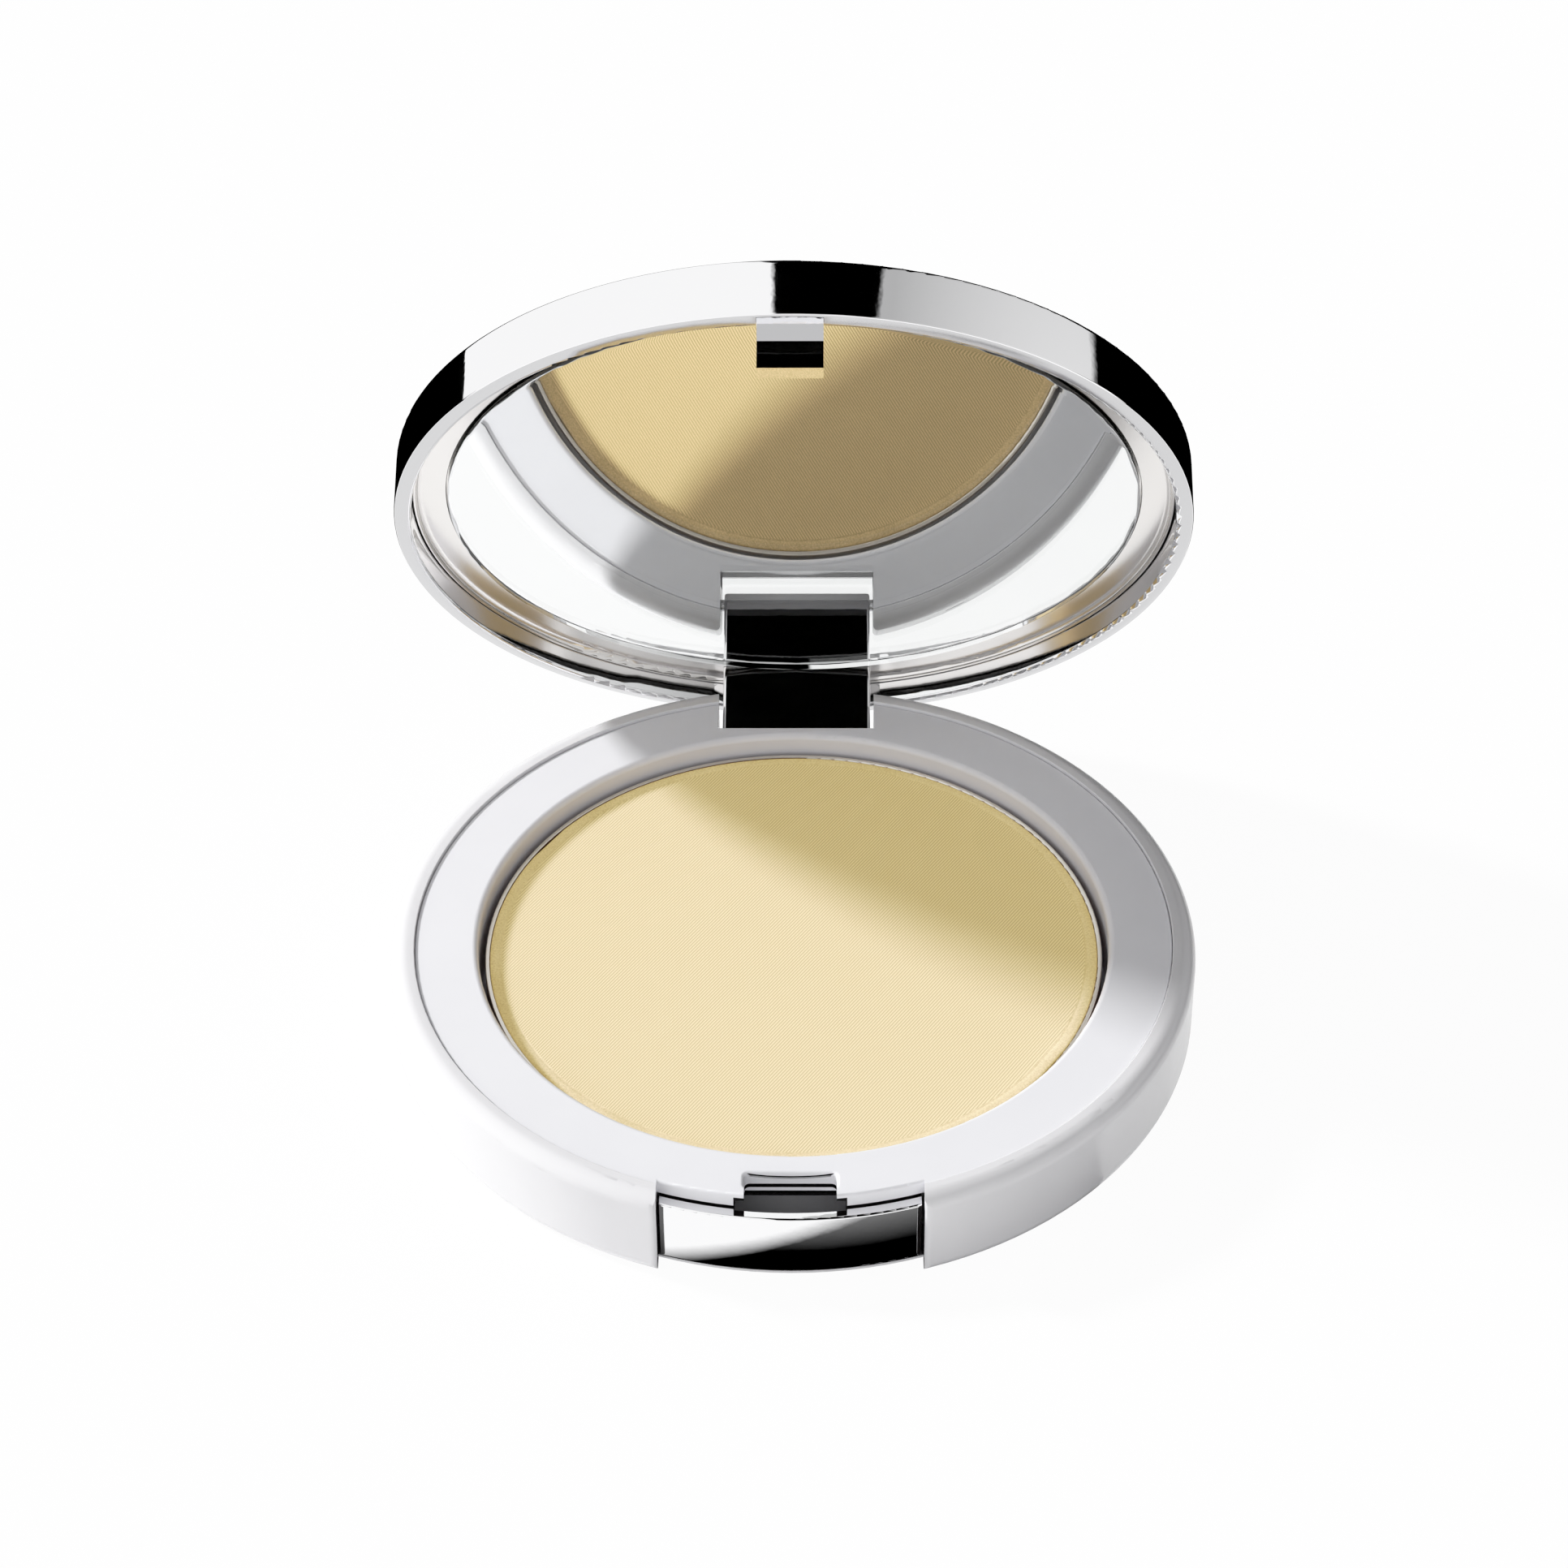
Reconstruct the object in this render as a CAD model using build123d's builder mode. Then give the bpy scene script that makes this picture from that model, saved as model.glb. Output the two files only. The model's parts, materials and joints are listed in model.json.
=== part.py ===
"""Round powder compact with a hinged mirror lid and a push-button latch.

The origin is the centre of the base's flat bottom, +Z is up, the button faces -Y and the hinge is at +Y.
The lid is modelled half open. Its planes are the closed lid's planes turned about the hinge pin, so every
lid sketch below is written in the closed lid's own coordinates. All sizes are in millimetres.
"""

from build123d import *

import math
import os

# Base
base_radius = 38.0
rim_height = 9.3
rim_rounding = 1.5
bottom_rounding = 1.4
floor_height = 1.2
seam_radius = 35.8
ledge_radius = 35.2
seam_break = 0.1
edge_break = 0.2
label_radius = 16.0
label_gap = 0.1
label_recess = 0.2
label_thickness = 0.12

# Tray set into the base
tray_height = 9.0
tray_underside = 7.6
tray_clearance = 0.05
tray_front_radius = 35.3
front_edge_rounding = 0.3
well_radius = 29.8
well_rounding = 0.6
well_wall = 1.0
well_floor = 2.2
well_underside = 1.3

# Pan and powder
pan_radius = 29.25
pan_wall = 0.45
glue_thickness = 0.15
glue_pad_radius = 24.0
pan_top = 7.0
powder_field_radius = 27.75
powder_edge_drop = 0.12
powder_gap = 0.01
crease_width = 0.12
crease_depth = 0.08

# Front cut-out, button and latch
cutout_half_width = 11.85
bay_floor = 0.9
bay_rear_y = -30.9
mouth_rounding = 0.5
recess_half_width = 4.1
recess_rear_y = -32.2
recess_length = 1.9
recess_corner = 0.5
recess_rounding = 0.35
groove_z = 8.2
groove_sag = 0.35
groove_height = 0.35
groove_depth = 0.6
slot_half_width = 5.0
slot_rear_y = -34.3
slot_top = 8.6
button_half_width = 11.6
button_radius = 36.5
button_inner_radius = 35.0
button_bottom = 1.0
button_top = 7.4
button_plate_bottom = 6.4
button_rear_radius = 31.95
button_rounding = 0.2
catch_chamfer = 0.12
catch_front_y = -32.95
catch_underside = 6.9
window_half_width = 4.9
window_front_radius = 35.65
spring_x = 8.0
spring_z = 4.1
spring_radius = 1.15
spring_wire_radius = 0.15
spring_turns = 4
spring_rear_y = -30.95
spring_front_y = -33.6
pad_half_size = 1.7
pad_reach = 2.0

# Hinge
hinge_y = 34.2
hinge_z = 4.66
pin_radius = 0.6
pin_clearance = 0.05
pin_left_x = -10.6
pin_right_x = 15.2
knuckle_radius = 1.25
block_half_width = 7.5
block_edge_rounding = 0.3
notch_half_width = 7.85
notch_front_y = 31.0
cheek_outer_x = 11.0
cheek_front_y = 32.4
cheek_depth = 3.0
cheek_height = 7.5
block_slot_length = 8.0

# Lid, as heights above the base's bottom when the lid is closed
lid_opening = 65.5
lid_radius = 37.8
lid_rim = 9.5
lid_rim_inner = lid_rim - 0.1
lid_rim_outer = lid_rim + 0.25
lid_thickness = 6.0
lid_dome = 0.25
lid_top_rounding = 0.6
lid_wall_radius = 36.2
lid_inner_rounding = 0.4
lid_rim_chamfer = 0.12
lid_roof = lid_rim + 4.65
frame_radius = 36.12
frame_edge = lid_rim + 2.5
frame_edge_width = 0.22
frame_cove = 0.65
bezel = lid_rim + 3.2
frame_pocket_floor = lid_rim + 3.85
frame_back = lid_rim + 4.6
mirror_radius = 32.85
mirror_face = lid_rim + 2.7
mirror_back = lid_rim + 3.7
mirror_bevel_width = 0.2
mirror_bevel_drop = 0.15
mirror_gap = 0.15
mirror_paint = 0.03
hook_half_width = 2.92
hook_front_y = -34.5
hook_rear_y = -33.0
hook_tip_y = -32.5
hook_bottom = 6.3
hook_nose_top = 6.8
hook_shelf_drop = 0.35
hook_root_top = lid_rim + 2.4
hook_root_radius = 37.4
hook_lead = 0.3
hook_slot_length = 6.0
slot_gap = 0.04

# How far a cut runs past the part, and how closely edges are matched when picked
cut_reach = 6.0
tolerance = 0.01

swing = Pos(0, hinge_y, hinge_z) * Rot(-lid_opening, 0, 0) * Pos(0, -hinge_y, -hinge_z)
lid_plan = Plane(swing)
lid_section = Plane(swing * Plane.XZ.location)
lid_side = Plane(swing * Plane.YZ.location)
lid_axis = Axis(lid_plan.origin, lid_plan.z_dir)


def corner(profile, x, y):
    """The sketch vertex nearest to a point."""
    return profile.vertices().sort_by_distance((x, y))[0]


def save(piece, name):
    """Labels a finished piece and writes it as its own STEP file."""
    piece.part.label = name
    export_step(piece.part, f"parts/{name}.step")


os.makedirs("parts", exist_ok=True)

# Outer shell of the base: floor, wall and rounded rim, open at the button and at the hinge.
with BuildPart() as base_shell:
    with BuildSketch(Plane.XZ) as shell_profile:
        with BuildLine():
            Polyline(
                (0, 0),
                (base_radius, 0),
                (base_radius, rim_height),
                (seam_radius, rim_height),
                (seam_radius, tray_underside),
                (ledge_radius, tray_underside),
                (ledge_radius, floor_height),
                (0, floor_height),
                close=True,
            )
        make_face()
        fillet(corner(shell_profile, base_radius, 0), bottom_rounding)
        fillet(corner(shell_profile, base_radius, rim_height), rim_rounding)
        fillet(corner(shell_profile, seam_radius, rim_height), seam_break)
    revolve(axis=Axis.Z)
    # Plan outline, with the mouths of the cut-out and of the notch rounded.
    with BuildSketch(Plane.XY) as shell_plan:
        Circle(base_radius)
        with BuildSketch(mode=Mode.SUBTRACT):
            with Locations((0, -base_radius)):
                Rectangle(2 * cutout_half_width, base_radius)
            Circle(seam_radius, mode=Mode.SUBTRACT)
        with Locations((0, base_radius)):
            Rectangle(2 * notch_half_width, 2 * (base_radius - notch_front_y), mode=Mode.SUBTRACT)
        for half_width, side in ((cutout_half_width, -1), (notch_half_width, 1)):
            mouth_y = side * math.sqrt(base_radius**2 - half_width**2)
            for x in (-half_width, half_width):
                fillet(corner(shell_plan, x, mouth_y), mouth_rounding)
    extrude(amount=rim_height, mode=Mode.INTERSECT)
    # Bay in which the button slides.
    with BuildSketch(Plane.XY.offset(bay_floor)):
        with Locations((0, bay_rear_y)):
            Rectangle(2 * cutout_half_width, base_radius, align=(Align.CENTER, Align.MAX))
    extrude(amount=rim_height, mode=Mode.SUBTRACT)
    # Cheeks beside the hinge notch, which hold the pin.
    with BuildSketch(Plane.XY.offset(floor_height)):
        for side in (-1, 1):
            with Locations((side * (notch_half_width + cheek_outer_x) / 2, cheek_front_y)):
                Rectangle(cheek_outer_x - notch_half_width, cheek_depth, align=(Align.CENTER, Align.MIN))
    extrude(amount=cheek_height - floor_height)
    # Bore for the pin, blind at the left and open at the right.
    with BuildSketch(Plane.YZ.offset(pin_left_x)):
        with Locations((hinge_y, hinge_z)):
            Circle(pin_radius)
    extrude(amount=base_radius, mode=Mode.SUBTRACT)
    # Shallow recess under the base for the label.
    with BuildSketch(Plane.XY):
        Circle(label_radius + label_gap)
    extrude(amount=label_recess, mode=Mode.SUBTRACT)
save(base_shell, "base_shell")

# Blank round label in the recess.
with BuildPart() as base_label:
    with BuildSketch(Plane.XY.offset(label_recess - label_thickness)):
        Circle(label_radius)
    extrude(amount=label_thickness)
save(base_label, "base_label")

# Tray: top plate, well for the pan, latch recess and hinge notch.
with BuildPart() as inner_tray:
    with BuildSketch(Plane.XZ) as tray_profile:
        with BuildLine():
            Polyline(
                (0, well_underside),
                (well_radius + well_wall, well_underside),
                (well_radius + well_wall, tray_underside),
                (seam_radius - tray_clearance, tray_underside),
                (seam_radius - tray_clearance, tray_height),
                (well_radius, tray_height),
                (well_radius, well_floor),
                (0, well_floor),
                close=True,
            )
        make_face()
        fillet(corner(tray_profile, well_radius, tray_height), well_rounding)
        chamfer(corner(tray_profile, seam_radius - tray_clearance, tray_height), seam_break)
    revolve(axis=Axis.Z)
    with BuildSketch(Plane.XY) as tray_plan:
        Circle(seam_radius)
        with BuildSketch(mode=Mode.SUBTRACT):
            with Locations((0, -base_radius)):
                Rectangle(2 * cutout_half_width, base_radius)
            Circle(tray_front_radius, mode=Mode.SUBTRACT)
        with Locations((0, base_radius)):
            Rectangle(2 * notch_half_width, 2 * (base_radius - notch_front_y), mode=Mode.SUBTRACT)
    extrude(amount=rim_height, mode=Mode.INTERSECT)
    # Rounded upper edge of the front wall.
    front_edges = inner_tray.edges().filter_by(GeomType.CIRCLE).filter_by(
        lambda edge: abs(edge.radius - tray_front_radius) < tolerance
        and edge.center().Z > tray_height - tolerance
    )
    fillet(front_edges, front_edge_rounding)
    # Latch recess with rounded upper edges, open to the front, with a wider slot under the front edge.
    with BuildSketch(Plane.XY.offset(tray_underside)):
        with Locations((0, recess_rear_y)):
            Rectangle(2 * recess_half_width, recess_length, align=(Align.CENTER, Align.MAX))
        fillet(vertices(), recess_corner)
    extrude(amount=tray_height - tray_underside, mode=Mode.SUBTRACT)
    top_edges = inner_tray.edges().filter_by_position(Axis.Z, tray_height - tolerance, tray_height + tolerance)
    recess_edges = top_edges.filter_by(
        lambda edge: edge.length < 2 * recess_half_width
        and abs(edge.center().X) < recess_half_width + tolerance
        and abs(edge.center().Y - recess_rear_y + recess_length / 2) < recess_length / 2 + tolerance
    )
    fillet(recess_edges, recess_rounding)
    for half_width, rear_y, top in (
        (recess_half_width, recess_rear_y - recess_length / 2, tray_height),
        (slot_half_width, slot_rear_y, slot_top),
    ):
        with BuildSketch(Plane.XY.offset(tray_underside)):
            with Locations((0, rear_y)):
                Rectangle(2 * half_width, cut_reach, align=(Align.CENTER, Align.MAX))
        extrude(amount=top - tray_underside, mode=Mode.SUBTRACT)
    # Curved shadow groove in the rear wall of the latch recess.
    with BuildSketch(Plane.XZ.offset(-recess_rear_y)):
        with BuildLine():
            groove_arc = ThreePointArc(
                (-recess_half_width, groove_z + groove_sag),
                (0, groove_z),
                (recess_half_width, groove_z + groove_sag),
            )
            offset(groove_arc, groove_height, side=Side.LEFT)
        make_face()
    extrude(amount=-groove_depth, mode=Mode.SUBTRACT)
    # Pads on the well's outer wall that the springs push against.
    with BuildSketch(Plane.XY.offset(spring_z - pad_half_size)):
        for side in (-1, 1):
            with Locations((side * spring_x, spring_rear_y)):
                Rectangle(2 * pad_half_size, pad_reach, align=(Align.CENTER, Align.MIN))
        Circle(well_radius + well_wall / 2, mode=Mode.SUBTRACT)
    extrude(amount=2 * pad_half_size)
save(inner_tray, "inner_tray")

# Glue pad between the tray and the pan.
with BuildPart() as pan_adhesive:
    with BuildSketch(Plane.XY.offset(well_floor)):
        Circle(glue_pad_radius)
    extrude(amount=glue_thickness)
save(pan_adhesive, "pan_adhesive")

# Thin metal pan.
pan_bottom = well_floor + glue_thickness
with BuildPart() as powder_pan:
    with BuildSketch(Plane.XZ) as pan_profile:
        with BuildLine():
            Polyline(
                (0, pan_bottom),
                (pan_radius, pan_bottom),
                (pan_radius, pan_top),
                (pan_radius - pan_wall, pan_top),
                (pan_radius - pan_wall, pan_bottom + pan_wall),
                (0, pan_bottom + pan_wall),
                close=True,
            )
        make_face()
        fillet(corner(pan_profile, pan_radius, pan_bottom), 2 * edge_break)
        fillet(corner(pan_profile, pan_radius, pan_top), 0.6 * edge_break)
        fillet(corner(pan_profile, pan_radius - pan_wall, pan_top), 0.6 * edge_break)
    revolve(axis=Axis.Z)
save(powder_pan, "powder_pan")

# Powder cake with a rounded border and a crease around its pressed field.
powder_radius = pan_radius - pan_wall - powder_gap
with BuildPart() as pressed_powder:
    with BuildSketch(Plane.XZ) as powder_profile:
        with BuildLine():
            Polyline(
                (0, pan_bottom + pan_wall),
                (powder_radius, pan_bottom + pan_wall),
                (powder_radius, pan_top - powder_edge_drop),
                (powder_field_radius + crease_width, pan_top),
                (powder_field_radius, pan_top - crease_depth),
                (powder_field_radius - crease_width, pan_top),
                (0, pan_top),
                close=True,
            )
        make_face()
    revolve(axis=Axis.Z)
save(pressed_powder, "pressed_powder")

# Button: curved front plate, sliding top plate and catch bar, in one plated piece.
with BuildPart() as push_button:
    with BuildSketch(Plane.XY.offset(button_bottom)):
        with Locations((0, -base_radius)):
            Rectangle(2 * button_half_width, base_radius)
        Circle(button_radius, mode=Mode.INTERSECT)
        Circle(button_inner_radius, mode=Mode.SUBTRACT)
    extrude(amount=button_top - button_bottom)
    with BuildSketch(Plane.XY.offset(button_plate_bottom)):
        with Locations((0, -base_radius)):
            Rectangle(2 * button_half_width, base_radius)
        Circle(button_radius, mode=Mode.INTERSECT)
        Circle(button_rear_radius, mode=Mode.SUBTRACT)
    extrude(amount=button_top - button_plate_bottom)
    # Pads for the springs, behind the front plate.
    with BuildSketch(Plane.XY.offset(spring_z - pad_half_size)):
        for side in (-1, 1):
            with Locations((side * spring_x, spring_front_y)):
                Rectangle(2 * pad_half_size, pad_reach, align=(Align.CENTER, Align.MAX))
        Circle(button_inner_radius, mode=Mode.INTERSECT)
    extrude(amount=2 * pad_half_size)
    # Window that the lid's hook drops through.
    with BuildSketch(Plane.XY.offset(button_bottom)):
        with Locations((0, catch_front_y)):
            Rectangle(2 * window_half_width, cut_reach, align=(Align.CENTER, Align.MAX))
        Circle(window_front_radius, mode=Mode.INTERSECT)
    extrude(amount=button_top, mode=Mode.SUBTRACT)
    # The catch bar is thinner than the top plate.
    with BuildSketch(Plane.XY.offset(button_plate_bottom)):
        with Locations((0, catch_front_y)):
            Rectangle(2 * window_half_width, cut_reach, align=(Align.CENTER, Align.MIN))
    extrude(amount=catch_underside - button_plate_bottom, mode=Mode.SUBTRACT)
    face_edges = push_button.edges().filter_by(GeomType.CIRCLE).filter_by(
        lambda edge: abs(edge.radius - button_radius) < tolerance
    )
    for face_edge in (face_edges.sort_by(Axis.Z)[0], face_edges.sort_by(Axis.Z)[-1]):
        fillet(face_edge, button_rounding)
    catch_edge = push_button.edges().filter_by(Axis.X).filter_by(
        lambda edge: abs(edge.center().Y - catch_front_y) < tolerance
        and abs(edge.center().Z - button_top) < tolerance
    )
    chamfer(catch_edge, catch_chamfer)
save(push_button, "push_button")

# Pair of coil springs between the tray and the button.
spring_length = spring_rear_y - spring_front_y - 2 * spring_wire_radius
with BuildPart() as button_springs:
    for side in (-1, 1):
        with BuildLine():
            coil = Helix(
                pitch=spring_length / spring_turns,
                height=spring_length,
                radius=spring_radius,
                center=(side * spring_x, spring_rear_y - spring_wire_radius, spring_z),
                direction=(0, -1, 0),
            )
        with BuildSketch(Plane(origin=coil @ 0, z_dir=coil % 0)):
            Circle(spring_wire_radius)
        sweep(path=coil, is_frenet=True)
save(button_springs, "button_springs")

# Steel hinge pin.
with BuildPart() as hinge_pin:
    with BuildSketch(Plane.YZ.offset(pin_left_x)):
        with Locations((hinge_y, hinge_z)):
            Circle(pin_radius)
    extrude(amount=pin_right_x - pin_left_x)
    chamfer(hinge_pin.edges().filter_by(GeomType.CIRCLE), pin_radius / 4)
save(hinge_pin, "hinge_pin")

# Lid shell: bevelled rim, wall and slightly domed roof, slotted for the hook and for the hinge block.
with BuildPart() as lid_shell:
    with BuildSketch(lid_section) as lid_profile:
        with BuildLine():
            Polyline(
                (0, lid_roof),
                (lid_wall_radius, lid_roof),
                (lid_wall_radius, lid_rim_inner),
                (lid_radius, lid_rim_outer),
                (lid_radius, lid_rim + lid_thickness),
            )
            Line((0, lid_roof), (0, lid_rim + lid_thickness + lid_dome))
            TangentArc(
                (0, lid_rim + lid_thickness + lid_dome),
                (lid_radius, lid_rim + lid_thickness),
                tangent=(1, 0),
            )
        make_face()
        fillet(corner(lid_profile, lid_radius, lid_rim + lid_thickness), lid_top_rounding)
        chamfer(corner(lid_profile, lid_radius, lid_rim_outer), lid_rim_chamfer)
        fillet(corner(lid_profile, lid_wall_radius, lid_rim_inner), lid_inner_rounding)
    revolve(axis=lid_axis)
    with BuildSketch(lid_plan.offset(lid_rim_inner)):
        with Locations((0, -lid_radius)):
            Rectangle(2 * (hook_half_width + slot_gap), hook_slot_length)
        Circle(hook_root_radius + slot_gap, mode=Mode.INTERSECT)
    extrude(amount=hook_root_top + slot_gap - lid_rim_inner, mode=Mode.SUBTRACT)
    with BuildSketch(lid_plan.offset(lid_rim_inner)):
        with Locations((0, lid_radius)):
            Rectangle(2 * (block_half_width + slot_gap), block_slot_length)
    extrude(amount=bezel - lid_rim_inner, mode=Mode.SUBTRACT)
save(lid_shell, "lid_shell")

# Frame that carries the mirror: raised edge, cove, flat bezel and pocket.
with BuildPart() as mirror_frame:
    with BuildSketch(lid_section) as frame_profile:
        with BuildLine():
            Polyline(
                (0, frame_pocket_floor),
                (mirror_radius + mirror_gap, frame_pocket_floor),
                (mirror_radius + mirror_gap, bezel),
                (frame_radius - frame_edge_width, bezel),
                (frame_radius - frame_edge_width, frame_edge),
                (frame_radius, frame_edge),
                (frame_radius, frame_back),
                (0, frame_back),
                close=True,
            )
        make_face()
        fillet(corner(frame_profile, frame_radius - frame_edge_width, bezel), frame_cove)
        chamfer(corner(frame_profile, frame_radius, frame_edge), frame_edge_width / 3)
        fillet(corner(frame_profile, mirror_radius + mirror_gap, bezel), 0.4 * edge_break)
    revolve(axis=lid_axis)
    # Room for the hinge block over the bezel.
    with BuildSketch(lid_plan.offset(bezel)):
        with Locations((0, lid_radius)):
            Rectangle(2 * (block_half_width + slot_gap), block_slot_length)
    extrude(amount=-bezel, mode=Mode.SUBTRACT)
save(mirror_frame, "mirror_frame")

# Round mirror with a narrow bevelled edge.
with BuildPart() as mirror:
    with BuildSketch(lid_section):
        with BuildLine():
            Polyline(
                (0, mirror_face),
                (mirror_radius - mirror_bevel_width, mirror_face),
                (mirror_radius, mirror_face + mirror_bevel_drop),
                (mirror_radius, mirror_back),
                (0, mirror_back),
                close=True,
            )
        make_face()
    revolve(axis=lid_axis)
save(mirror, "mirror")

# Glue pad behind the mirror, clear of the glass by the thickness of its back paint.
with BuildPart() as mirror_adhesive:
    with BuildSketch(lid_plan.offset(mirror_back + mirror_paint)):
        Circle(glue_pad_radius)
    extrude(amount=frame_pocket_floor - mirror_back - mirror_paint)
save(mirror_adhesive, "mirror_adhesive")

# Hinge block: flat front face, knuckle around the pin, round underside and rear flush with the lid.
rear_reach = lid_radius - hinge_y
block_top = bezel - slot_gap
with BuildPart() as hinge_block:
    with BuildSketch(lid_side):
        with BuildLine():
            front_y = hinge_y - knuckle_radius
            heel_y = hinge_y + math.sqrt(rear_reach**2 - knuckle_radius**2)
            Line((front_y, block_top), (front_y, hinge_z))
            RadiusArc((front_y, hinge_z), (hinge_y, hinge_z - knuckle_radius), -knuckle_radius)
            Line((hinge_y, hinge_z - knuckle_radius), (heel_y, hinge_z - knuckle_radius))
            RadiusArc((heel_y, hinge_z - knuckle_radius), (lid_radius, hinge_z), -rear_reach)
            Polyline((lid_radius, hinge_z), (lid_radius, block_top), (front_y, block_top))
        make_face()
        with Locations((hinge_y, hinge_z)):
            Circle(pin_radius + pin_clearance, mode=Mode.SUBTRACT)
    extrude(amount=block_half_width, both=True)
    with BuildSketch(lid_plan):
        Circle(lid_radius)
    extrude(amount=block_top, mode=Mode.INTERSECT)
    upright_edges = hinge_block.edges().filter_by(lid_axis)
    fillet(upright_edges.group_by(Axis(lid_plan.origin, lid_plan.y_dir))[0], block_edge_rounding)
save(hinge_block, "hinge_block")

# Latch hook: root set into the rim inside its outer wall, sloping shelf, tab and rear-facing nose.
with BuildPart() as latch_hook:
    with BuildSketch(lid_side):
        with BuildLine():
            Polyline(
                (-lid_radius, lid_rim_outer),
                (-lid_wall_radius, lid_rim_inner),
                (hook_front_y, lid_rim_inner - hook_shelf_drop),
                (hook_front_y, hook_bottom),
                (hook_tip_y - hook_lead, hook_bottom),
                (hook_tip_y, hook_bottom + hook_lead),
                (hook_tip_y, hook_nose_top),
                (hook_rear_y, hook_nose_top),
                (hook_rear_y, hook_root_top),
                (-lid_radius, hook_root_top),
                close=True,
            )
        make_face()
    extrude(amount=hook_half_width, both=True)
    with BuildSketch(lid_plan):
        Circle(hook_root_radius)
    extrude(amount=hook_root_top, mode=Mode.INTERSECT)
save(latch_hook, "latch_hook")
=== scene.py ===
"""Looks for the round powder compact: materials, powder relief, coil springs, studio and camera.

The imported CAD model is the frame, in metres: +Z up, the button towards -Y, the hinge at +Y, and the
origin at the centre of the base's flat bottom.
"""

import json
import math

import bpy
from mathutils import Matrix, Vector


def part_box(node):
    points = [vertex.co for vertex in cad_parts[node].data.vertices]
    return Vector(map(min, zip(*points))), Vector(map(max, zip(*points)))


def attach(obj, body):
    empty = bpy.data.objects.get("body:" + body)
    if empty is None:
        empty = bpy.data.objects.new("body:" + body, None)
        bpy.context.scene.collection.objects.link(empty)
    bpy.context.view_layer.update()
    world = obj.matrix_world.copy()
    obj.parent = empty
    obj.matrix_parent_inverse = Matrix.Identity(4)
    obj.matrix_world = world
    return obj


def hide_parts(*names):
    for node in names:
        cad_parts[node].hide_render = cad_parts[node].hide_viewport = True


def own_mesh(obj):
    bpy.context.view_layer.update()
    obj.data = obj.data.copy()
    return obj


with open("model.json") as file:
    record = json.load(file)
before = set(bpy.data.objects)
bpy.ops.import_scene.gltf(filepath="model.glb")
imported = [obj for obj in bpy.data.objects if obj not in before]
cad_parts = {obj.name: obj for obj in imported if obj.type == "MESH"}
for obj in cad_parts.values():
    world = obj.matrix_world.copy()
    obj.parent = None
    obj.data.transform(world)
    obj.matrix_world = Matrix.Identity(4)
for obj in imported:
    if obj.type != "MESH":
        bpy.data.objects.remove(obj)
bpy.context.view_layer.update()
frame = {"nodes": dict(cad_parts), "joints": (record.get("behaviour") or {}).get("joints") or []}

MM = 0.001
nodes = frame["nodes"]
joints = {joint["name"]: joint for joint in frame["joints"]}
hinge = joints["lid_hinge"]
lid_opening = -math.radians(hinge["range_deg"][0])
mirror_normal = Vector((0, -math.sin(lid_opening), -math.cos(lid_opening)))


def wire(tree, source, target):
    """Links a node's output socket to another node's input socket."""
    tree.links.new(source, target)


def material(name, color, roughness, metallic=0.0):
    """A new Principled material, returned as (material, node tree, shader)."""
    made = bpy.data.materials.new(name)
    made.use_nodes = True
    tree = made.node_tree
    shader = tree.nodes["Principled BSDF"]
    shader.inputs["Base Color"].default_value = (*color, 1)
    shader.inputs["Roughness"].default_value = roughness
    shader.inputs["Metallic"].default_value = metallic
    return made, tree, shader


def arithmetic(tree, operation, first, second):
    """A maths node's result. Either side may be a socket or a number."""
    node = tree.nodes.new("ShaderNodeMath")
    node.operation = operation
    for side, value in enumerate((first, second)):
        if isinstance(value, (int, float)):
            node.inputs[side].default_value = value
        else:
            wire(tree, value, node.inputs[side])
    return node.outputs[0]


def millimetres(tree):
    """A socket with the point's own coordinates in millimetres."""
    place = tree.nodes.new("ShaderNodeTexCoord")
    scale = tree.nodes.new("ShaderNodeVectorMath")
    scale.operation = "SCALE"
    scale.inputs["Scale"].default_value = 1 / MM
    wire(tree, place.outputs["Object"], scale.inputs[0])
    return scale.outputs["Vector"]


def noise(tree, size, detail=2.0, stretch=(1, 1, 1)):
    """A noise value from 0 to 1 whose features are about size millimetres wide."""
    mapping = tree.nodes.new("ShaderNodeMapping")
    mapping.inputs["Scale"].default_value = [s / size for s in stretch]
    wire(tree, millimetres(tree), mapping.inputs["Vector"])
    texture = tree.nodes.new("ShaderNodeTexNoise")
    texture.inputs["Scale"].default_value = 1
    texture.inputs["Detail"].default_value = detail
    wire(tree, mapping.outputs["Vector"], texture.inputs["Vector"])
    return texture.outputs["Fac"]


def between(tree, value, low, high):
    """value, from 0 to 1, spread over low to high."""
    spread = tree.nodes.new("ShaderNodeMapRange")
    spread.inputs["To Min"].default_value = low
    spread.inputs["To Max"].default_value = high
    wire(tree, value, spread.inputs["Value"])
    return spread.outputs["Result"]


def blend_colors(tree, value, first, second):
    """A colour that goes from first to second as value goes from 0.3 to 0.7."""
    ramp = tree.nodes.new("ShaderNodeValToRGB")
    ramp.color_ramp.elements[0].position = 0.3
    ramp.color_ramp.elements[0].color = (*first, 1)
    ramp.color_ramp.elements[1].position = 0.7
    ramp.color_ramp.elements[1].color = (*second, 1)
    wire(tree, value, ramp.inputs["Fac"])
    return ramp.outputs["Color"]


def bump(tree, shader, height, depth):
    """Bumps the shader by a height from 0 to 1 that stands for depth millimetres."""
    relief = tree.nodes.new("ShaderNodeBump")
    relief.inputs["Distance"].default_value = depth * MM
    wire(tree, height, relief.inputs["Height"])
    wire(tree, relief.outputs["Normal"], shader.inputs["Normal"])


def times(tree, first, second):
    """The product of two sockets or numbers."""
    return arithmetic(tree, "MULTIPLY", first, second)


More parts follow.
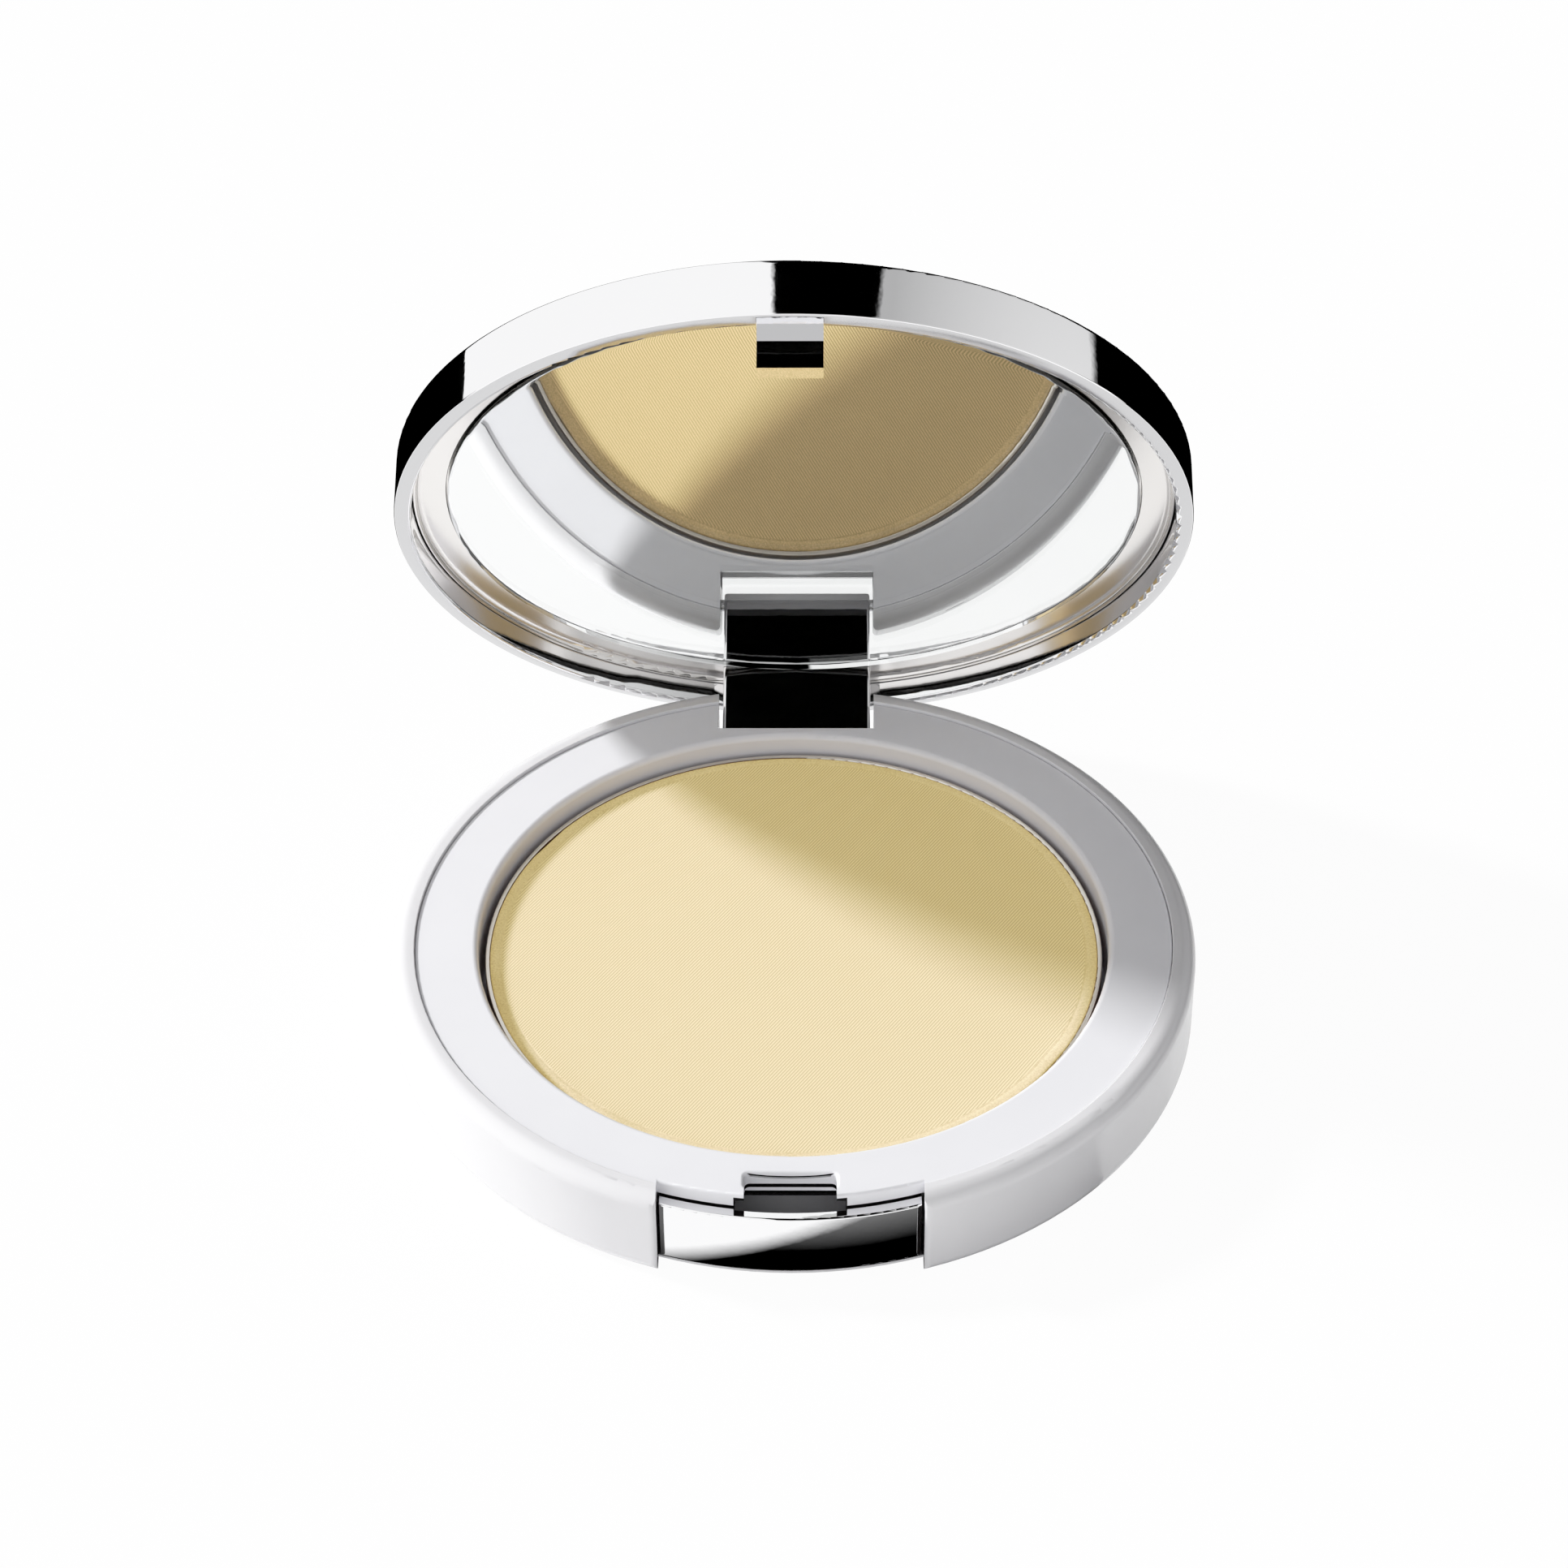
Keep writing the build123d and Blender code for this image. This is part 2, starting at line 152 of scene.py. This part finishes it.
def without(tree, value):
    """1 - value."""
    return arithmetic(tree, "SUBTRACT", 1.0, value)


def inside_box(tree, half_width, front, rear, top):
    """1 in a box centred on X, from front to rear in Y and from the painted shade's floor to top in Z, in
    millimetres.
    """
    place = tree.nodes.new("ShaderNodeSeparateXYZ")
    wire(tree, millimetres(tree), place.inputs[0])
    from_middle = arithmetic(tree, "ABSOLUTE", place.outputs["X"], 0)
    across = arithmetic(tree, "LESS_THAN", from_middle, half_width)
    behind = arithmetic(tree, "GREATER_THAN", place.outputs["Y"], front)
    before = arithmetic(tree, "LESS_THAN", place.outputs["Y"], rear)
    above = arithmetic(tree, "GREATER_THAN", place.outputs["Z"], painted_shade_floor)
    below = arithmetic(tree, "LESS_THAN", place.outputs["Z"], top)
    upright = times(tree, above, below)
    return times(tree, across, times(tree, times(tree, behind, before), upright))


def white_plastic(name, color, shade, gloss, shaded_hollows):
    """Moulded white plastic: faint mottling, uneven gloss, a very fine grain, and near-black painted shade
    in the latch's hollows.
    """
    made, tree, shader = material(name, color, gloss)
    mottling_and_painted_shade = blend_colors(tree, noise(tree, 6), color, shade)
    # Painted shade: each hollow's box is coloured near-black over the mottling.
    for hollow in shaded_hollows:
        darkened = tree.nodes.new("ShaderNodeMixRGB")
        wire(tree, inside_box(tree, *hollow), darkened.inputs["Fac"])
        wire(tree, mottling_and_painted_shade, darkened.inputs["Color1"])
        darkened.inputs["Color2"].default_value = (*painted_shade_color, 1)
        mottling_and_painted_shade = darkened.outputs["Color"]
    wire(tree, mottling_and_painted_shade, shader.inputs["Base Color"])
    wire(tree, between(tree, noise(tree, 1.5), gloss - 0.04, gloss + 0.06), shader.inputs["Roughness"])
    bump(tree, shader, noise(tree, 0.12), 0.0006)
    shader.inputs["IOR"].default_value = 1.5
    return made


def plated(name, color, gloss, waviness):
    """Bright plating over moulded plastic: faint cloudy gloss changes and a slightly wavy surface."""
    made, tree, shader = material(name, color, gloss, metallic=1.0)
    clouds = between(tree, noise(tree, 4, stretch=(1, 5, 1)), gloss, gloss + 0.03)
    wire(tree, clouds, shader.inputs["Roughness"])
    waves_in_plating = mixed(tree, noise(tree, 6, detail=1), noise(tree, 1.4, detail=2), 0.3)
    bump(tree, shader, waves_in_plating, waviness)
    return made


def pan_metal():
    """Satin aluminium, its lip finely turned, and its upright outer wall painted dark brown as painted
    shade deep in the well.
    """
    made, tree, shader = material("pan_metal", (0.5, 0.46, 0.4), 0.35, metallic=1.0)
    side = tree.nodes.new("ShaderNodeSeparateXYZ")
    place = tree.nodes.new("ShaderNodeNewGeometry")
    wire(tree, place.outputs["Normal"], side.inputs[0])
    # Painted shade: faces that turn sideways go dark brown.
    painted_wall_shade = blend_colors(tree, side.outputs["Z"], (0.3, 0.16, 0.11), (0.78, 0.74, 0.68))
    wire(tree, painted_wall_shade, shader.inputs["Base Color"])
    turned = between(tree, noise(tree, 0.3, stretch=(1, 1, 6)), 0.28, 0.45)
    wire(tree, turned, shader.inputs["Roughness"])
    return made


def paper():
    """Blank silver-grey label paper with a fibrous grain."""
    made, tree, shader = material("label_paper", (0.62, 0.62, 0.63), 0.55)
    fibres = noise(tree, 0.5, detail=6, stretch=(1, 4, 1))
    tint = blend_colors(tree, fibres, (0.6, 0.6, 0.61), (0.66, 0.66, 0.67))
    wire(tree, tint, shader.inputs["Base Color"])
    bump(tree, shader, fibres, 0.01)
    return made


def glue():
    """Cloudy cured adhesive."""
    made, tree, shader = material("glue", (0.75, 0.72, 0.66), 0.5)
    tint = blend_colors(tree, noise(tree, 1.2, detail=4), (0.7, 0.66, 0.6), (0.8, 0.77, 0.7))
    wire(tree, tint, shader.inputs["Base Color"])
    return made


def drawn_steel():
    """Drawn steel, with fine marks along the wire."""
    made, tree, shader = material("drawn_steel", (0.5, 0.5, 0.52), 0.25, metallic=1.0)
    wire(tree, between(tree, noise(tree, 0.15, detail=3), 0.18, 0.4), shader.inputs["Roughness"])
    return made


def silvering():
    """The silvered back of the mirror's glass, its tint the least bit uneven."""
    made, tree, shader = material("silvering", (0.93, 0.94, 0.94), 0.0, metallic=1.0)
    tint = blend_colors(tree, noise(tree, 12), (0.945, 0.95, 0.95), (0.955, 0.96, 0.96))
    wire(tree, tint, shader.inputs["Base Color"])
    return made


def mirror_glass():
    """Clear float glass with a trace of green in its thickness."""
    made, tree, shader = material("mirror_glass", (0.985, 0.995, 0.99), 0.0)
    shader.inputs["Transmission Weight"].default_value = 1
    shader.inputs["IOR"].default_value = 1.52
    tint = blend_colors(tree, noise(tree, 9), (0.985, 0.993, 0.989), (0.985, 0.995, 0.991))
    wire(tree, tint, shader.inputs["Base Color"])
    return made


# The pressed powder carries the print of a twill cloth. Its threads repeat along and across, and the ridges
# run where both repeat together. Frequencies are in repeats per millimetre of the powder's face.
warp = Vector((2.55, 0.12))
weft = Vector((0.70, -2.22))
ridge = warp + weft
ridge_pitch = MM / ridge.length
ridge_across = ridge.normalized()
ridge_along = Vector((-ridge_across.y, ridge_across.x))
ridge_height = 0.022 * MM
powder_light = (0.76, 0.66, 0.52)
powder_dark = (0.47, 0.39, 0.28)
mirrored_tint = (1.24, 1.1, 0.76)
painted_glow_color = (1, 0.72, 0.12)
painted_powder_glow = 0.23


def waves(tree, repeat):
    """A smooth wave from 0 to 1 across the powder's face, with repeat as its two frequencies."""
    dot = tree.nodes.new("ShaderNodeVectorMath")
    dot.operation = "DOT_PRODUCT"
    dot.inputs[1].default_value = (*repeat, 0)
    wire(tree, millimetres(tree), dot.inputs[0])
    cosine = arithmetic(tree, "COSINE", times(tree, dot.outputs["Value"], 2 * math.pi), 0)
    spread = tree.nodes.new("ShaderNodeMapRange")
    spread.inputs["From Min"].default_value = -1
    wire(tree, cosine, spread.inputs["Value"])
    return spread.outputs["Result"]


def mixed(tree, first, second, share):
    """first and second averaged, with share of the second."""
    mix = tree.nodes.new("ShaderNodeMix")
    mix.inputs["Factor"].default_value = share
    wire(tree, first, mix.inputs["A"])
    wire(tree, second, mix.inputs["B"])
    return mix.outputs["Result"]


def powder(name, twill):
    """Pressed ivory powder: matte and grainy, with or without painted light and shade in stripes along the
    cloth print's ridges and threads.
    """
    made, tree, shader = material(name, powder_light, 0.9)
    grain = mixed(tree, noise(tree, 0.18, detail=3), noise(tree, 5), 0.3)
    shader.inputs["Specular IOR Level"].default_value = 0.1
    if twill:
        # Painted light and shade: the colour turns lighter and darker along the twill's ridges and threads,
        # over the ridges' real relief in the mesh.
        threads = mixed(tree, waves(tree, warp), waves(tree, weft), 0.45)
        painted_twill_shade = mixed(tree, waves(tree, ridge), threads, 0.12)
        grain = mixed(tree, painted_twill_shade, grain, 0.15)
    tinted = blend_colors(tree, grain, powder_dark, powder_light)
    # Straight to the eye the powder gets a pale yellow painted glow, an emission that lightens it and its
    # shade. In the mirror it looks a deeper ochre.
    path = tree.nodes.new("ShaderNodeLightPath")
    deeper = tree.nodes.new("ShaderNodeMixRGB")
    deeper.blend_type = "MULTIPLY"
    wire(tree, without(tree, path.outputs["Is Camera Ray"]), deeper.inputs["Fac"])
    wire(tree, tinted, deeper.inputs["Color1"])
    deeper.inputs["Color2"].default_value = (*mirrored_tint, 1)
    wire(tree, deeper.outputs["Color"], shader.inputs["Base Color"])
    shader.inputs["Emission Color"].default_value = (*painted_glow_color, 1)
    glow = times(tree, path.outputs["Is Camera Ray"], painted_powder_glow)
    wire(tree, glow, shader.inputs["Emission Strength"])
    bump(tree, shader, grain, 0.02)
    return made


def mesh_piece(name, points, faces, body, paint):
    """A new mesh object made of points and faces, riding on a CAD body."""
    mesh = bpy.data.meshes.new(name)
    mesh.from_pydata([tuple(p) for p in points], [], faces)
    mesh.validate()
    piece = bpy.data.objects.new(name, mesh)
    bpy.context.scene.collection.objects.link(piece)
    for one in paint:
        mesh.materials.append(one)
    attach(piece, body)
    return piece


def powder_cake():
    """The powder in its pan: a ridged field, a crease and a rounded border, as one closed mesh."""
    low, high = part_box("pressed_powder")
    outer, top, floor = high[0], high[2], low[2]
    border_width = 1.04 * MM
    crease_width = 0.12 * MM
    crease_radius = outer - border_width
    field_radius = crease_radius - crease_width
    crest = top - 0.002 * MM
    count = int(2 * field_radius / (ridge_pitch / 2))
    offsets = [(i - (count - 1) / 2) * ridge_pitch / 2 for i in range(count)]
    # Both ends of every crest and valley line lie on the field's circle.
    ends = []
    for i, offset in enumerate(offsets):
        half = math.sqrt(field_radius**2 - offset**2)
        height = crest - (i % 2) * ridge_height
        for side in (-1, 1):
            spot = offset * ridge_across + side * half * ridge_along
            ends.append((math.atan2(spot.y, spot.x), i, side, Vector((spot.x, spot.y, height))))
    points = [end[3] for end in ends]
    index = {(end[1], end[2]): k for k, end in enumerate(ends)}
    faces = []
    for i in range(count - 1):
        faces.append((index[i, -1], index[i + 1, -1], index[i + 1, 1], index[i, 1]))
    # Rings outside the field: crease, border and wall, down to the floor.
    loop = sorted(range(len(ends)), key=lambda k: ends[k][0])
    rings = [
        (crease_radius, top - 0.08 * MM),
        (crease_radius + crease_width, top - 0.01 * MM),
        (crease_radius + 0.45 * MM, top - 0.002 * MM),
        (crease_radius + 0.8 * MM, top - 0.04 * MM),
        (outer - 0.05 * MM, top - 0.1 * MM),
        (outer, top - 0.16 * MM),
        (outer, floor),
    ]
    previous = loop
    for radius, height in rings:
        ring = []
        for k in loop:
            angle = ends[k][0]
            ring.append(len(points))
            points.append(Vector((radius * math.cos(angle), radius * math.sin(angle), height)))
        for a in range(len(loop)):
            b = (a + 1) % len(loop)
            faces.append((previous[a], ring[a], ring[b], previous[b]))
        previous = ring
    faces.append(tuple(reversed(previous)))
    looks = [powder("powder_field", True), powder("powder_border", False)]
    piece = mesh_piece("powder_cake", points, faces, "base", looks)
    for face in piece.data.polygons[count - 1:]:
        face.material_index = 1
        face.use_smooth = len(face.vertices) == 4
    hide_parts("pressed_powder")
    return piece


def coil_spring(name, centre, radius, wire_radius, rear_y, front_y, turns):
    """A round-wire compression spring along Y, with a closed flat turn at each end."""
    steps_per_turn, around = 26, 10
    steps = steps_per_turn * (turns + 2)
    length = rear_y - front_y - 2 * wire_radius
    points = []
    for i in range(steps + 1):
        turn = (turns + 1.5) * i / steps
        rise = min(max((turn - 0.75) / turns, 0), 1)
        pitch_in = 0.5 * min(turn, 0.75, turns + 1.5 - turn) / 0.75 * wire_radius
        y = rear_y - wire_radius - rise * length - (pitch_in if rise < 0.5 else -pitch_in)
        angle = 2 * math.pi * turn
        outward = Vector((math.cos(angle), 0, math.sin(angle)))
        spot = Vector((centre[0], y, centre[1])) + radius * outward
        for j in range(around):
            swing = 2 * math.pi * j / around
            offset = math.cos(swing) * outward + math.sin(swing) * Vector((0, 1, 0))
            points.append(spot + wire_radius * offset)
    faces = []
    for i in range(steps):
        for j in range(around):
            k = (j + 1) % around
            faces.append((i * around + j, i * around + k, (i + 1) * around + k, (i + 1) * around + j))
    faces.append(tuple(range(around)))
    faces.append(tuple(reversed(range(steps * around, (steps + 1) * around))))
    piece = mesh_piece(name, points, faces, "base", [steel])
    for face in piece.data.polygons:
        face.use_smooth = len(face.vertices) == 4
    return piece


def button_springs():
    """Both return springs, as coils at their rest length, fixed to the base."""
    low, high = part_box("button_springs")
    radius_outer = (high[2] - low[2]) / 2
    wire_radius = 0.15 * MM
    open_turns = 4
    for name, x in (("spring_left", low[0] + radius_outer), ("spring_right", high[0] - radius_outer)):
        centre = (x, (low[2] + high[2]) / 2)
        radius = radius_outer - wire_radius
        piece = coil_spring(name, centre, radius, wire_radius, high[1], low[1], open_turns)
        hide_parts("button_springs")
        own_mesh(piece)


def paint(node, *materials):
    """Puts materials on a CAD node's object."""
    mesh = nodes[node].data
    mesh.materials.clear()
    for one in materials:
        mesh.materials.append(one)


def satin_rim_painted_darker():
    """The lid's rim, whose plating is satin and painted a darker grey for the shade it reflects, while its
    wall stays bright.
    """
    # Painted shade: the rim's plating colour is darker than the chrome.
    paint("lid_shell", chrome, plated("rim_plating", (0.6, 0.6, 0.61), 0.16, 0.008))
    for face in nodes["lid_shell"].data.polygons:
        face.material_index = 1 if face.normal.dot(mirror_normal) > 0.9 else 0


def silver_back():
    """Glass on the mirror's front and rim, and silver on its back."""
    paint("mirror", mirror_glass(), silvering())
    for face in nodes["mirror"].data.polygons:
        face.material_index = 1 if face.normal.dot(mirror_normal) < -0.9 else 0


shallow_edge = 42  # degrees


def smoothing():
    """A node group that joins the CAD faces' edges and shades smooth across every shallow one."""
    group = bpy.data.node_groups.new("smoothing", "GeometryNodeTree")
    group.interface.new_socket("Geometry", in_out="INPUT", socket_type="NodeSocketGeometry")
    group.interface.new_socket("Geometry", in_out="OUTPUT", socket_type="NodeSocketGeometry")
    start = group.nodes.new("NodeGroupInput")
    plain = group.nodes.new("GeometryNodeRemoveAttribute")
    plain.inputs["Name"].default_value = "custom_normal"
    joined = group.nodes.new("GeometryNodeMergeByDistance")
    joined.inputs["Distance"].default_value = 0.0001 * MM
    angle = group.nodes.new("GeometryNodeInputMeshEdgeAngle")
    shallow = group.nodes.new("FunctionNodeCompare")
    shallow.operation = "LESS_THAN"
    shallow.inputs["B"].default_value = math.radians(shallow_edge)
    faces = group.nodes.new("GeometryNodeSetShadeSmooth")
    edges = group.nodes.new("GeometryNodeSetShadeSmooth")
    edges.domain = "EDGE"
    end = group.nodes.new("NodeGroupOutput")
    wire_group = group.links.new
    wire_group(start.outputs[0], plain.inputs["Geometry"])
    wire_group(plain.outputs["Geometry"], joined.inputs["Geometry"])
    wire_group(joined.outputs["Geometry"], faces.inputs["Geometry"])
    wire_group(faces.outputs["Geometry"], edges.inputs["Geometry"])
    wire_group(angle.outputs["Unsigned Angle"], shallow.inputs["A"])
    wire_group(shallow.outputs["Result"], edges.inputs["Shade Smooth"])
    wire_group(edges.outputs["Geometry"], end.inputs[0])
    return group


def smooth(piece):
    """Clean normals for a CAD node: flat faces stay flat and roundings run on smoothly."""
    joining = piece.modifiers.new("smoothing", "NODES")
    joining.node_group = smoothing_group
    weighting = piece.modifiers.new("weighting", "WEIGHTED_NORMAL")
    weighting.keep_sharp = True
    weighting.mode = "FACE_AREA_WITH_ANGLE"
    weighting.weight = 60


smoothing_group = smoothing()
steel = drawn_steel()
cloudy_glue = glue()
chrome = plated("chrome", (0.93, 0.93, 0.94), 0.015, 0.018)
frame_plating = plated("frame_plating", (0.84, 0.82, 0.8), 0.2, 0.01)
# The latch's hollows, where shade is painted near-black, in millimetres: where they all start in Z, and
# then the half width, front, rear and top of the button's bay, of the recess's groove and of the catch's
# slot.
painted_shade_color = (0.012, 0.01, 0.01)
painted_shade_floor = 0.3
bay = (11.87, -37.5, -30.8, 7.62)
groove = (4.12, -32.0, -31.3, 8.9)
slot = (5.02, -35.4, -34.2, 8.62)
white_shell = white_plastic("white_shell", (0.77, 0.765, 0.785), (0.79, 0.785, 0.805), 0.22, [bay])
white_tray = white_plastic("white_tray", (0.85, 0.85, 0.885), (0.865, 0.865, 0.9), 0.3, [bay, groove, slot])
paint("base_shell", white_shell)
paint("inner_tray", white_tray)
paint("base_label", paper())
paint("powder_pan", pan_metal())
for node in ("pan_adhesive", "mirror_adhesive"):
    paint(node, cloudy_glue)
paint("hinge_pin", steel)
paint("button_springs", steel)
paint("pressed_powder", powder("powder_plain", False))
paint("mirror_frame", frame_plating)
for node in ("hinge_block", "latch_hook", "push_button"):
    paint(node, chrome)
satin_rim_painted_darker()
silver_back()
powder_cake()
button_springs()
for node in nodes.values():
    smooth(node)


# The floor, in millimetres: where its far part starts to go dark in reflections, and the compact's own
# shadow in front of it.
floor_half = 2000
floor_level = -0.05
touching_gap = 0.4
table_radius = 75
table_fade = 10
dark_room_front = -30
front_shadow = (10.8, -5)
front_shadow_radius = 37.3
front_shadow_edge = 2
front_shadow_rear = -25
front_shadow_lift = 0.26
lift_start = 40
lift_width = 6
floor_bleach = 0.92

# The world, by direction: an edge or height is a component of a unit vector, a panel or wall a brightness.
gap_left = 0.07
gap_right = 0.34
panel_edge = 0.02
left_panel = 0.93
right_panel = 0.38
right_panel_foot = 0.13
right_foot_edge = 0.04
right_gain = 0.35
right_gain_start = 0.4
right_gain_width = 0.55
wall_height = 0.45
wall_front = 0.2
wall_edge = 0.1
front_wall = 0.5

# Soft fill for matte surfaces, and the key light.
fill_strength = 0.35
fill_from_left = 0.26
fill_from_front = 0.42
key_strength = 3.3
key_softness = 8
key_from = (-1.5, 0.65, 1.0)

# The camera, and the photographic curve.
camera_side = math.radians(0.92)
camera_height = math.radians(39.25)
camera_roll = math.radians(-0.56)
camera_target = (-1.10 * MM, 21.74 * MM, 9.32 * MM)
camera_distance = 0.4
camera_lens = 93.0
tone_points = ((0.2, 0.24), (0.4, 0.49), (0.66, 0.745), (0.86, 0.92))


def step_up(tree, value, start, width):
    """0 below start, 1 above start + width, and a ramp between."""
    ramp = tree.nodes.new("ShaderNodeMapRange")
    ramp.inputs["From Min"].default_value = start
    ramp.inputs["From Max"].default_value = start + width
    wire(tree, value, ramp.inputs["Value"])
    return ramp.outputs["Result"]


def seen_directly(tree):
    """1 where the camera sees a point itself or in polished pieces, 0 where it lights a matte surface."""
    path = tree.nodes.new("ShaderNodeLightPath")
    return arithmetic(tree, "LESS_THAN", path.outputs["Diffuse Depth"], 0.5)


def studio_floor():
    """Plain white floor, bleached to the camera and clear from below.

    In polished pieces it is black beyond table_radius, except in front, and in the compact's shadow.
    """
    made, tree, shader = material("floor", (0.9, 0.9, 0.9), 0.9)
    shader.inputs["Specular IOR Level"].default_value = 0
    tint = blend_colors(tree, noise(tree, 40), (0.9, 0.9, 0.9), (0.91, 0.91, 0.91))
    wire(tree, tint, shader.inputs["Base Color"])
    path = tree.nodes.new("ShaderNodeLightPath")
    direct = seen_directly(tree)
    reflected = arithmetic(tree, "SUBTRACT", direct, path.outputs["Is Camera Ray"])
    distance = tree.nodes.new("ShaderNodeVectorMath")
    distance.operation = "LENGTH"
    wire(tree, millimetres(tree), distance.inputs[0])
    beyond = step_up(tree, distance.outputs["Value"], table_radius, table_fade)
    # The compact's own shadow in front of it, which the polished button shows.
    from_shadow = tree.nodes.new("ShaderNodeVectorMath")
    from_shadow.operation = "DISTANCE"
    from_shadow.inputs[1].default_value = (*front_shadow, 0)
    wire(tree, millimetres(tree), from_shadow.inputs[0])
    outside = step_up(tree, from_shadow.outputs["Value"], front_shadow_radius, front_shadow_edge)
    inside = without(tree, outside)
    side = tree.nodes.new("ShaderNodeSeparateXYZ")
    wire(tree, millimetres(tree), side.inputs[0])
    in_front = arithmetic(tree, "LESS_THAN", side.outputs["Y"], front_shadow_rear)
    lifted = step_up(tree, distance.outputs["Value"], lift_start, lift_width)
    lift = times(tree, lifted, front_shadow_lift)
    shade = times(tree, times(tree, inside, in_front), without(tree, lift))
    behind = arithmetic(tree, "GREATER_THAN", side.outputs["Y"], dark_room_front)
    far = times(tree, beyond, behind)
    darkness = times(tree, reflected, arithmetic(tree, "MAXIMUM", far, shade))
    glow = tree.nodes.new("ShaderNodeEmission")
    dark = tree.nodes.new("ShaderNodeEmission")
    dark.inputs["Strength"].default_value = 0
    bleached = tree.nodes.new("ShaderNodeMixShader")
    wire(tree, times(tree, direct, floor_bleach), bleached.inputs["Fac"])
    wire(tree, shader.outputs[0], bleached.inputs[1])
    wire(tree, glow.outputs[0], bleached.inputs[2])
    surface = tree.nodes.new("ShaderNodeMixShader")
    wire(tree, darkness, surface.inputs["Fac"])
    wire(tree, bleached.outputs[0], surface.inputs[1])
    wire(tree, dark.outputs[0], surface.inputs[2])
    # Clear from below and to whatever all but touches it, so that the compact's bottom is lit as well.
    underside = tree.nodes.new("ShaderNodeNewGeometry")
    clear = tree.nodes.new("ShaderNodeBsdfTransparent")
    one_sided = tree.nodes.new("ShaderNodeMixShader")
    touching = arithmetic(tree, "LESS_THAN", path.outputs["Ray Length"], touching_gap * MM)
    see_through = arithmetic(tree, "MAXIMUM", underside.outputs["Backfacing"], touching)
    wire(tree, see_through, one_sided.inputs["Fac"])
    wire(tree, surface.outputs[0], one_sided.inputs[1])
    wire(tree, clear.outputs[0], one_sided.inputs[2])
    wire(tree, one_sided.outputs[0], tree.nodes["Material Output"].inputs["Surface"])
    half = floor_half * MM
    level = floor_level * MM
    corners = [(-half, -half, level), (half, -half, level), (half, half, level), (-half, half, level)]
    mesh = bpy.data.meshes.new("studio_floor")
    mesh.from_pydata(corners, [], [(0, 1, 2, 3)])
    mesh.materials.append(made)
    floor = bpy.data.objects.new("studio_floor", mesh)
    bpy.context.scene.collection.objects.link(floor)


def studio_world():
    """Soft light from all round, strongest from the front left, and what polished pieces see.

    They see a white soft box on the left and a grey one on the right, with a dark gap overhead between
    them and a grey wall low in front.
    """
    world = bpy.data.worlds.new("studio")
    bpy.context.scene.world = world
    world.use_nodes = True
    tree = world.node_tree
    background = tree.nodes["Background"]
    place = tree.nodes.new("ShaderNodeTexCoord")
    way = tree.nodes.new("ShaderNodeSeparateXYZ")
    wire(tree, place.outputs["Generated"], way.inputs[0])
    x, y, z = (way.outputs[axis] for axis in "XYZ")
    to_left = times(tree, x, -1.0)
    to_front = times(tree, y, -1.0)
    left = times(tree, step_up(tree, to_left, gap_left, panel_edge), left_panel)
    gain = times(tree, step_up(tree, x, right_gain_start, right_gain_width), right_gain)
    right_brightness = arithmetic(tree, "ADD", gain, right_panel)
    above_floor = step_up(tree, z, right_panel_foot, right_foot_edge)
    right_shape = times(tree, step_up(tree, x, gap_right, panel_edge), above_floor)
    panels = arithmetic(tree, "ADD", left, times(tree, right_shape, right_brightness))
    low = without(tree, step_up(tree, z, wall_height, wall_edge))
    front = times(tree, low, step_up(tree, to_front, wall_front, wall_edge))
    pattern = arithmetic(tree, "MAXIMUM", panels, times(tree, front, front_wall))
    sideways = times(tree, to_left, fill_from_left)
    frontways = times(tree, to_front, fill_from_front)
    fill = arithmetic(tree, "ADD", arithmetic(tree, "ADD", sideways, frontways), fill_strength)
    direct = seen_directly(tree)
    to_camera = tree.nodes.new("ShaderNodeLightPath").outputs["Is Camera Ray"]
    reflected = times(tree, pattern, arithmetic(tree, "SUBTRACT", direct, to_camera))
    lighting = times(tree, fill, without(tree, direct))
    shown = arithmetic(tree, "ADD", arithmetic(tree, "ADD", reflected, lighting), to_camera)
    wire(tree, shown, background.inputs["Strength"])
    background.inputs["Color"].default_value = (1, 1, 1, 1)


def key_light():
    """The key comes from the left, slightly behind, and is moderately soft."""
    lamp = bpy.data.lights.new("key", "SUN")
    lamp.energy = key_strength
    lamp.angle = math.radians(key_softness)
    key = bpy.data.objects.new("key", lamp)
    key.rotation_euler = Vector(key_from).to_track_quat("Z", "Y").to_euler()
    key.visible_glossy = False
    bpy.context.scene.collection.objects.link(key)


def camera():
    """Looks down at the compact from the front, a touch to the right, with a slight roll."""
    view = Vector((
        math.sin(camera_side) * math.cos(camera_height),
        -math.cos(camera_side) * math.cos(camera_height),
        math.sin(camera_height),
    ))
    right = Vector((0, 0, 1)).cross(view).normalized()
    up = view.cross(right)
    tilted_right = math.cos(camera_roll) * right + math.sin(camera_roll) * up
    tilted_up = view.cross(tilted_right)
    lens = bpy.data.cameras.new("camera")
    lens.sensor_width = 36
    lens.lens = camera_lens
    lens.clip_start = 0.01
    eye = bpy.data.objects.new("camera", lens)
    turn = Matrix((tilted_right, tilted_up, view)).transposed().to_4x4()
    eye.matrix_world = Matrix.Translation(Vector(camera_target) + camera_distance * view) @ turn
    bpy.context.scene.collection.objects.link(eye)
    bpy.context.scene.camera = eye


def tone():
    """A gentle photographic curve: lighter middle tones, and a soft shoulder."""
    settings = bpy.context.scene.view_settings
    settings.view_transform = "Standard"
    settings.use_curve_mapping = True
    curve = settings.curve_mapping.curves[3]
    for point in tone_points:
        curve.points.new(*point)
    settings.curve_mapping.update()


studio_floor()
studio_world()
key_light()
camera()
tone()
